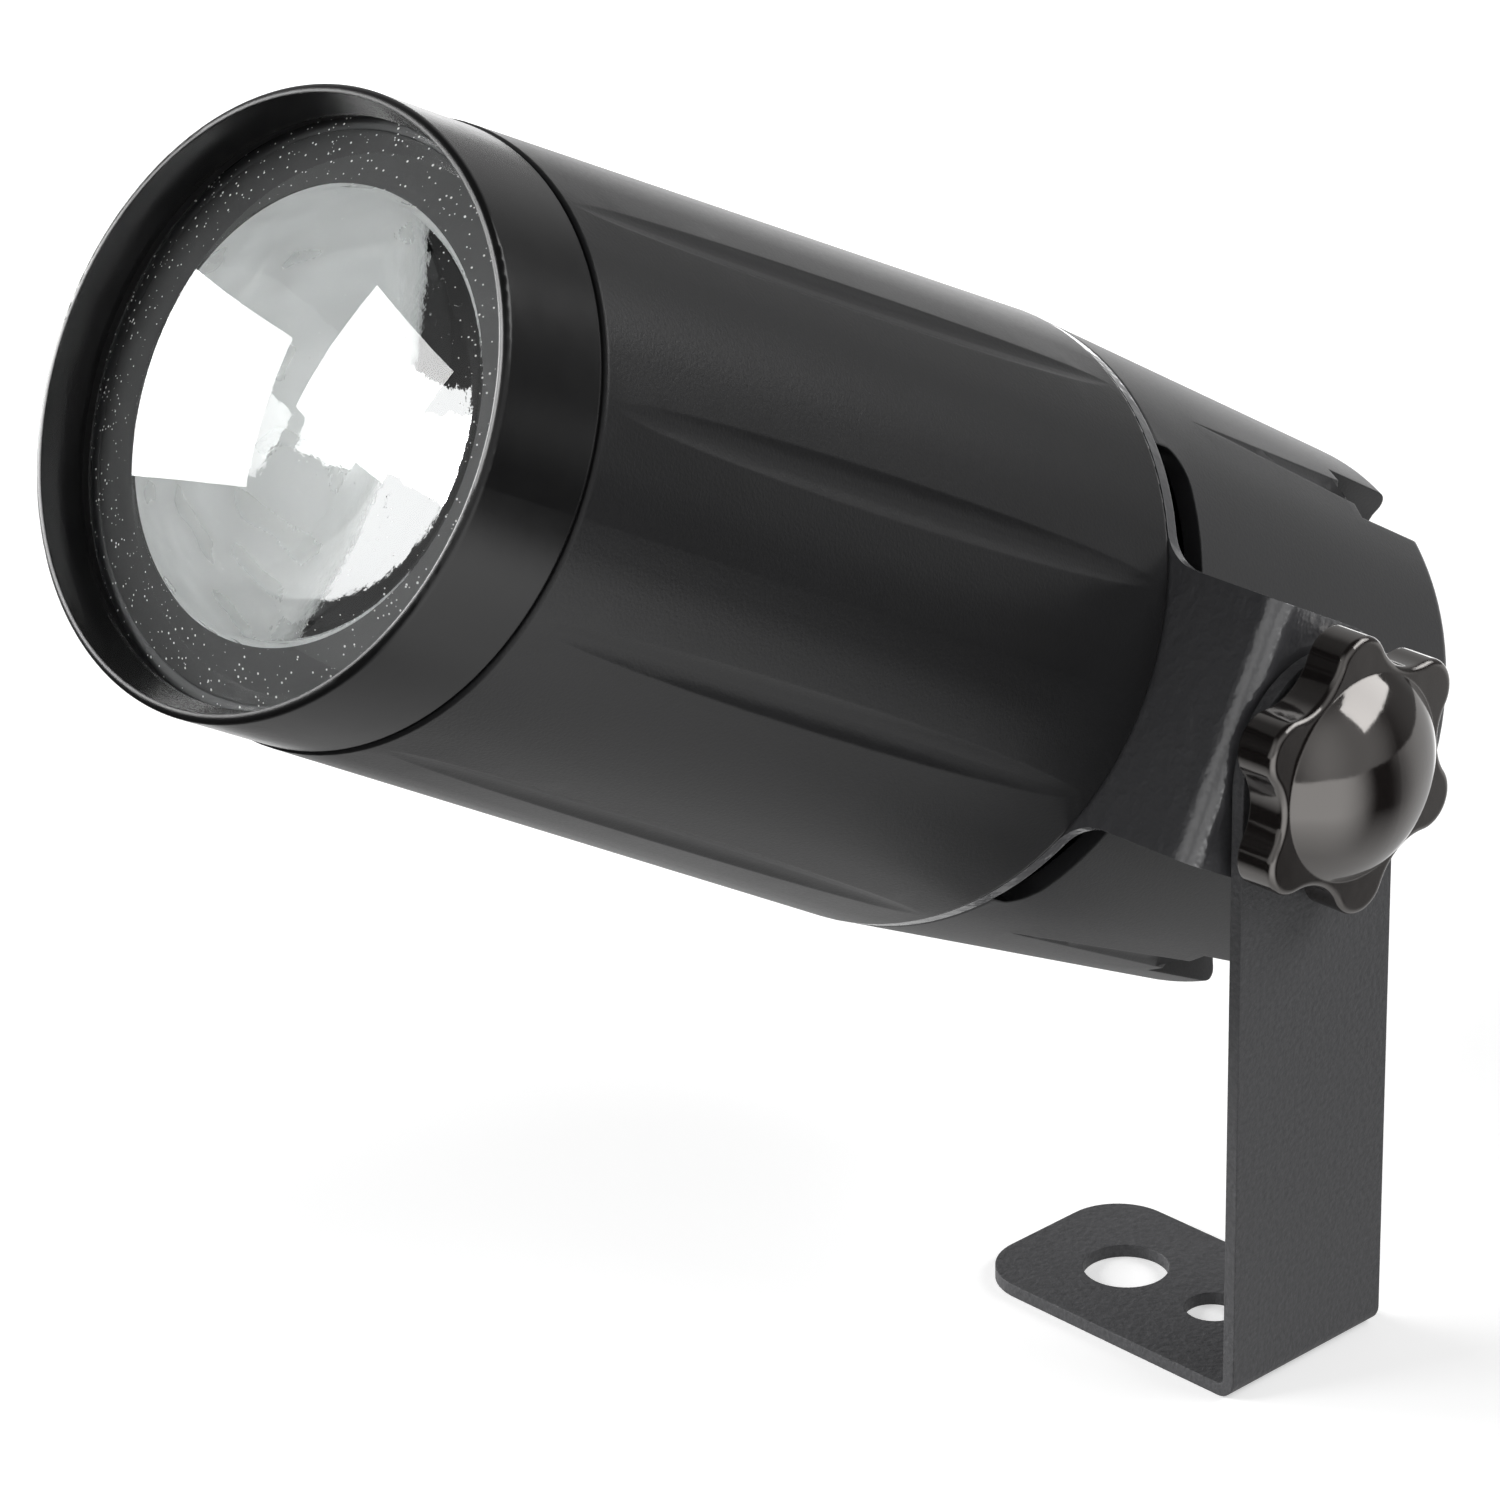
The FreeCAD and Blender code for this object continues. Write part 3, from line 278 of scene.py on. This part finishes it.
# Barrel and tail housing: ABS moulded in a spark-eroded tool, which leaves a fine even grain.
# The real grain is finer than the picture shows, so it is drawn at half a millimetre.
spark_abs = surfaced(
    "black ABS moulded with a spark-eroded grain", ("#141415", "#18181a"), patch=15.0 * mm, grain=0.5 * mm,
    depth=0.03 * mm, edge_round=0.5 * mm, roughness=(0.31, 0.41), settings={"IOR": 1.5})
dress(["barrel_shell"], spark_abs)
# The tail's copy of this ABS is painted a shade lighter than the barrel's: painted light, standing in for
# the brighter light that falls on the tail.
tail_abs_painted_lighter = surfaced(
    "black ABS moulded with a spark-eroded grain, a shade greyer", ("#252526", "#2b2b2d"), patch=15.0 * mm,
    grain=0.5 * mm, depth=0.03 * mm, edge_round=0.5 * mm, roughness=(0.38, 0.48), settings={"IOR": 1.5})
dress(["tail_shell"], tail_abs_painted_lighter)


# Front bezel: the same ABS from a polished tool, pressed over the lens and the barrel's mouth.
# It is smooth and satin, with a faint ripple from the flow of the plastic.
polished_abs = surfaced(
    "black ABS moulded in a polished tool", ("#121213", "#151515"), patch=20.0 * mm, grain=6.0 * mm,
    depth=0.02 * mm, edge_round=0.4 * mm, roughness=(0.20, 0.28), settings={"IOR": 1.5})
dress(["front_bezel"], polished_abs)


# Lens: clear acrylic, turned and polished, domed alike on both faces, with a wide flat rim at the back
# that is pressed onto the baffle. Dust lies on the front, most of it near the rim where no cloth
# reaches, and the back has the faint ripple of its mould.
def turned(name, corners, steps, where):
    bm = bmesh.new()
    verts = [bm.verts.new((radius, station, 0.0)) for station, radius in corners]
    edges = [bm.edges.new((a, b)) for a, b in zip(verts, verts[1:])]
    bmesh.ops.spin(bm, geom=verts + edges, cent=(0, 0, 0), axis=(0, 1, 0), dvec=(0, 0, 0),
                   angle=2.0 * math.pi, steps=steps, use_merge=True)
    bmesh.ops.remove_doubles(bm, verts=bm.verts, dist=0.001 * mm)
    bmesh.ops.recalc_face_normals(bm, faces=bm.faces)
    bmesh.ops.transform(bm, matrix=where, verts=bm.verts)
    for face in bm.faces:
        face.smooth = True
    mesh = bpy.data.meshes.new(name)
    bm.to_mesh(mesh)
    bm.free()
    mesh.set_sharp_from_angle(angle=math.radians(35.0))
    piece = bpy.data.objects.new(name, mesh)
    scene.collection.objects.link(piece)
    return piece


# Real dust is finer than the picture shows, so each speck has a cell of 0.7 mm to itself.
def see_through(name, tint, passing_tint, middle, dust, ripple):
    flow_long, dust_cell = 2.5 * mm, 0.7 * mm
    wiped_r, unwiped_r, wiped_share = 28.0 * mm, 34.0 * mm, 0.45
    material, tree = finish(name)
    place = add(tree, "TexCoord", {}, {})
    flow = add(tree, "TexNoise", {"Scale": 1.0 / flow_long, "Detail": 3.0},
               {"Vector": place.outputs["Object"]})
    bump = add(tree, "Bump", {"Strength": 1.0, "Distance": ripple}, {"Height": flow.outputs[0]})
    cells = add(tree, "TexVoronoi", {"Scale": 1.0 / dust_cell}, {"Vector": place.outputs["Object"]})
    chance = add(tree, "SeparateColor", {}, {0: cells.outputs["Color"]})
    size = add(tree, "MapRange", {"From Min": 0.3, "To Max": dust}, {"Value": chance.outputs[0]})
    off = add(tree, "VectorMath", {"operation": "DISTANCE", 1: middle}, {0: place.outputs["Object"]})
    unwiped = add(tree, "MapRange", {"From Min": wiped_r, "From Max": unwiped_r, "To Min": wiped_share},
                  {"Value": off.outputs["Value"]})
    left = add(tree, "Math", {"operation": "MULTIPLY"}, {0: size.outputs[0], 1: unwiped.outputs[0]})
    speck = add(tree, "Math", {"operation": "LESS_THAN"},
                {0: cells.outputs["Distance"], 1: left.outputs[0]})
    clear = add(tree, "BsdfPrincipled",
                {"Base Color": shade(tint), "Roughness": 0.0, "IOR": 1.49, "Transmission Weight": 1.0},
                {"Normal": bump.outputs[0]})
    lint = add(tree, "BsdfDiffuse", {"Color": shade("#d8d8d6")}, {})
    dusty = add(tree, "MixShader", {}, {0: speck.outputs[0], 1: clear.outputs[0], 2: lint.outputs[0]})
    path = add(tree, "LightPath", {}, {})
    passing = add(tree, "BsdfTransparent", {"Color": shade(passing_tint)}, {})
    mixed = add(tree, "MixShader", {},
                {0: path.outputs["Is Shadow Ray"], 1: dusty.outputs[0], 2: passing.outputs[0]})
    add(tree, "OutputMaterial", {}, {"Surface": mixed.outputs[0]})
    return material


front, back, lens_r = measured("lens")
dome_high = 7.1 * mm
front_land, rear_land = 1.3 * mm, 10.6 * mm
front_r = lens_r - front_land
rear_r = lens_r - rear_land
ball = (front_r ** 2 + dome_high ** 2) / (2.0 * dome_high)
rear_high = ball - math.sqrt(ball ** 2 - rear_r ** 2)
pressed = 0.02 * mm
edge_front = front + dome_high
edge_back = back - rear_high + pressed
dome_rings = 40
turns_round = 192


def dome(station, edge_r, high, way):
    half = math.asin(edge_r / ball)
    turns = [half * k / dome_rings for k in range(dome_rings + 1)]
    return [(station + way * (ball * math.cos(turn) - ball + high), ball * math.sin(turn))
            for turn in turns]


profile = dome(edge_front, front_r, dome_high, -1.0)
profile += [(edge_front, lens_r), (edge_back, lens_r)]
profile += reversed(dome(edge_back, rear_r, rear_high, 1.0))
lens = turned("acrylic_lens", profile, turns_round, lamp_place)

lens_middle = lamp_place @ Vector((0.0, 0.5 * (front + back), 0.0))
polished = see_through("clear polished acrylic with dust", "#fbfdfd", "#f4f6f6", lens_middle,
                       dust=0.26, ripple=0.0)
rippled = see_through("clear acrylic as moulded at the back", "#fbfdfd", "#f4f6f6", lens_middle,
                      dust=0.0, ripple=0.02 * mm)
lens.data.materials.append(polished)
lens.data.materials.append(rippled)
for face in lens.data.polygons:
    if (lamp_inverse @ face.center).y > 0.5 * (edge_front + edge_back):
        face.material_index = 1
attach(lens, "lamp_head")
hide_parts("lens")


# Lens gasket: a moulded rubber ring between the bezel and the lens, dull and almost black.
# Baffle ring: matt black ABS behind the lens's rim, which hides the cone's flange.
rubber = surfaced(
    "black moulded rubber", ("#111111", "#151515"), patch=5.0 * mm, grain=0.8 * mm, depth=0.02 * mm,
    edge_round=0.2 * mm, roughness=(0.6, 0.75), settings={"IOR": 1.5})
dress(["lens_gasket"], rubber)
baffle_abs = surfaced(
    "matt black ABS of the baffle", ("#141414", "#222222"), patch=3.0 * mm, grain=0.5 * mm, depth=0.02 * mm,
    edge_round=0.1 * mm, roughness=(0.55, 0.70), settings={"IOR": 1.5})
dress(["baffle_ring"], baffle_abs)


# Reflector: a cone of ABS, metallised in vacuum, bright but a little wavy and not mirror smooth.
# Behind it sit the emitter with its yellow phosphor and the white-masked aluminium board.
wave_long, wave_deep = 5.0 * mm, 0.35 * mm
bright_metal, tree = finish("vacuum-metallised reflector")
place = add(tree, "TexCoord", {}, {})
wave = add(tree, "TexNoise", {"Scale": 1.0 / wave_long, "Detail": 1.0}, {"Vector": place.outputs["Object"]})
bump = add(tree, "Bump", {"Strength": 1.0, "Distance": wave_deep}, {"Height": wave.outputs[0]})
rough = add(tree, "MapRange", {"To Min": 0.15, "To Max": 0.5}, {"Value": wave.outputs[0]})
tint = add(tree, "Mix", {"data_type": "RGBA", 6: shade("#dcdcdb"), 7: shade("#ffffff")},
           {0: wave.outputs[0]})
metal = add(tree, "BsdfPrincipled", {"Metallic": 0.55},
            {"Base Color": tint.outputs[2], "Roughness": rough.outputs[0], "Normal": bump.outputs[0]})
add(tree, "OutputMaterial", {}, {"Surface": metal.outputs[0]})
dress(["reflector_cone"], bright_metal)

white_mask = surfaced(
    "white solder mask on aluminium", ("#dcdcd8", "#e6e6e2"), patch=6.0 * mm, grain=0.6 * mm,
    depth=0.01 * mm, edge_round=0.1 * mm, roughness=(0.30, 0.40), settings={"IOR": 1.5})
dress(["led_board"], white_mask)
phosphor = surfaced(
    "phosphor under clear silicone", ("#d9b53e", "#e3c65a"), patch=2.0 * mm, grain=0.5 * mm, depth=0.01 * mm,
    edge_round=0.1 * mm, roughness=(0.12, 0.20), settings={"IOR": 1.41})
dress(["led_emitter"], phosphor)


# Heat sink: aluminium, extruded with its fins and then milled round to fit the tail.
# Bare and dull silver, with fine tool lines that spread its shine.
milled_aluminium = surfaced(
    "milled aluminium", ("#b9babb", "#c6c7c8"), patch=8.0 * mm, grain=0.7 * mm, depth=0.02 * mm,
    edge_round=0.2 * mm, roughness=(0.30, 0.42), settings={"Metallic": 1.0})
dress(["heat_sink"], milled_aluminium)


# Clamping knob: glossy black phenolic, moulded and tumbled, with a trace of brown in its shine.
# A slow wave and a fine orange peel break up the edges of what it mirrors.
wave_long, wave_deep = 8.0 * mm, 0.06 * mm
peel_long, peel_deep = 0.5 * mm, 0.003 * mm
edge_round = 0.4 * mm
phenolic, tree = finish("glossy black moulded phenolic")
place = add(tree, "TexCoord", {}, {})
wave = add(tree, "TexNoise", {"Scale": 1.0 / wave_long, "Detail": 2.0}, {"Vector": place.outputs["Object"]})
peel = add(tree, "TexNoise", {"Scale": 1.0 / peel_long, "Detail": 2.0}, {"Vector": place.outputs["Object"]})
edge = add(tree, "Bevel", {"samples": 4, "Radius": edge_round}, {})
slow = add(tree, "Bump", {"Strength": 1.0, "Distance": wave_deep},
           {"Height": wave.outputs[0], "Normal": edge.outputs[0]})
bump = add(tree, "Bump", {"Strength": 1.0, "Distance": peel_deep},
           {"Height": peel.outputs[0], "Normal": slow.outputs[0]})
tint = add(tree, "Mix", {"data_type": "RGBA", 6: shade("#151211"), 7: shade("#1d1918")},
           {0: wave.outputs[0]})
rough = add(tree, "MapRange", {"To Min": 0.05, "To Max": 0.11}, {"Value": peel.outputs[0]})
gloss = add(tree, "BsdfPrincipled", {"IOR": 2.2, "Specular Tint": shade("#fffaf6")},
            {"Base Color": tint.outputs[2], "Roughness": rough.outputs[0], "Normal": bump.outputs[0]})
add(tree, "OutputMaterial", {}, {"Surface": gloss.outputs[0]})
dress(["clamping_knob"], phenolic)


# Pivot hardware: a nylon washer that the lamp turns on, and zinc-plated steel for the knob's washer,
# the weld nut and the inner screws. The stud's thread shows as fine turned bands, one each pitch.
nylon = surfaced(
    "natural nylon", ("#cbc6b8", "#d6d1c4"), patch=4.0 * mm, grain=0.6 * mm, depth=0.02 * mm,
    edge_round=0.15 * mm, roughness=(0.38, 0.50), settings={"IOR": 1.53})
dress(["friction_washer"], nylon)
zinc_steel = surfaced(
    "zinc-plated steel", ("#b4b5b3", "#c4c4bf"), patch=5.0 * mm, grain=0.5 * mm, depth=0.01 * mm,
    edge_round=0.15 * mm, roughness=(0.25, 0.38), settings={"Metallic": 1.0})
dress(["knob_washer", "weld_nut", "heat_sink_screws", "led_board_screws", "driver_screws"], zinc_steel)

thread_pitch, thread_deep = 1.25 * mm, 0.5 * mm
one_band = 0.314  # the wave texture's own length of one band at a scale of 1
thread_painted_shade, tree = finish("zinc-plated steel thread with painted shade in its grooves")
place = add(tree, "TexCoord", {}, {})
bands = add(tree, "TexWave", {"Scale": one_band / thread_pitch}, {"Vector": place.outputs["Object"]})
bump = add(tree, "Bump", {"Strength": 1.0, "Distance": thread_deep}, {"Height": bands.outputs["Fac"]})
# Painted shade: the bands' colour darkens where the bump is low, in the grooves of the thread.
tint = add(tree, "Mix", {"data_type": "RGBA", 6: shade("#8b8b88"), 7: shade("#c4c4bf")},
           {0: bands.outputs["Fac"]})
metal = add(tree, "BsdfPrincipled", {"Metallic": 1.0, "Roughness": 0.32},
            {"Base Color": tint.outputs[2], "Normal": bump.outputs[0]})
add(tree, "OutputMaterial", {}, {"Surface": metal.outputs[0]})
dress(["knob_stud"], thread_painted_shade)


# Housing, panel and socket screws: cross-head steel screws, blackened in an oxide bath.
# The oxide leaves them dark, with a dull sheen of the metal below.
black_oxide = surfaced(
    "black oxide on steel", ("#2c2c2d", "#363637"), patch=3.0 * mm, grain=0.4 * mm, depth=0.01 * mm,
    edge_round=0.12 * mm, roughness=(0.32, 0.45), settings={"Metallic": 1.0})
dress(["housing_screws", "panel_screws", "socket_screws"], black_oxide)


# Rear panel and its fittings: matt ABS panel, glass-filled nylon sockets and gland, grey ABS buttons
# and gold-plated pins. Nylon comes out of the mould a touch shinier than ABS, with a faint flow pattern.
matt_abs = surfaced(
    "matt black ABS", ("#1c1c1d", "#222223"), patch=9.0 * mm, grain=0.6 * mm, depth=0.03 * mm,
    edge_round=0.25 * mm, roughness=(0.50, 0.62), settings={"IOR": 1.5})
dress(["rear_panel"], matt_abs)
filled_nylon = surfaced(
    "black glass-filled nylon", ("#141415", "#1b1b1c"), patch=6.0 * mm, grain=0.9 * mm, depth=0.02 * mm,
    edge_round=0.25 * mm, roughness=(0.28, 0.40), settings={"IOR": 1.53})
dress(["dmx_in_socket", "dmx_out_socket", "dmx_out_latch", "gland_body", "gland_cap", "gland_nut"],
      filled_nylon)
grey_abs = surfaced(
    "dark grey ABS", ("#3a3a3c", "#424244"), patch=3.0 * mm, grain=0.4 * mm, depth=0.02 * mm,
    edge_round=0.2 * mm, roughness=(0.40, 0.50), settings={"IOR": 1.5})
dress(["menu_button_1", "menu_button_2", "menu_button_3", "menu_button_4"], grey_abs)
gold = surfaced(
    "gold-plated brass", ("#d6ad58", "#e0bb6a"), patch=2.0 * mm, grain=0.3 * mm, depth=0.005 * mm,
    edge_round=0.1 * mm, roughness=(0.15, 0.24), settings={"Metallic": 1.0})
dress(["dmx_in_pins"], gold)


# Display: a digit block cast in dark red epoxy, which stands on the control board.
# The window before it is smoked acrylic, cut from sheet, so only lit digits show through.
red_epoxy = surfaced(
    "dark red tinted epoxy", ("#2a0d0d", "#341010"), patch=5.0 * mm, grain=0.5 * mm, depth=0.005 * mm,
    edge_round=0.2 * mm, roughness=(0.10, 0.18), settings={"IOR": 1.55})
dress(["digit_display"], red_epoxy)
smoked = see_through("smoked acrylic with dust", "#4a4444", "#4a4444", lens_middle, dust=0.05, ripple=0.0)
dress(["display_window"], smoked)


# Circuit boards: woven glass in epoxy under a green solder mask, smooth with a soft shine.
# The coils and capacitors of the power supply on it are dipped in dark lacquer.
solder_mask = surfaced(
    "green solder mask on glass epoxy", ("#12391f", "#184727"), patch=4.0 * mm, grain=0.5 * mm,
    depth=0.01 * mm, edge_round=0.1 * mm, roughness=(0.25, 0.36), settings={"IOR": 1.5})
dress(["control_board", "driver_board"], solder_mask)
lacquer = surfaced(
    "lacquered coils and capacitors", ("#22222c", "#2d2d3a"), patch=3.0 * mm, grain=0.5 * mm,
    depth=0.02 * mm, edge_round=0.3 * mm, roughness=(0.22, 0.34), settings={"IOR": 1.5})
dress(["driver_parts"], lacquer)
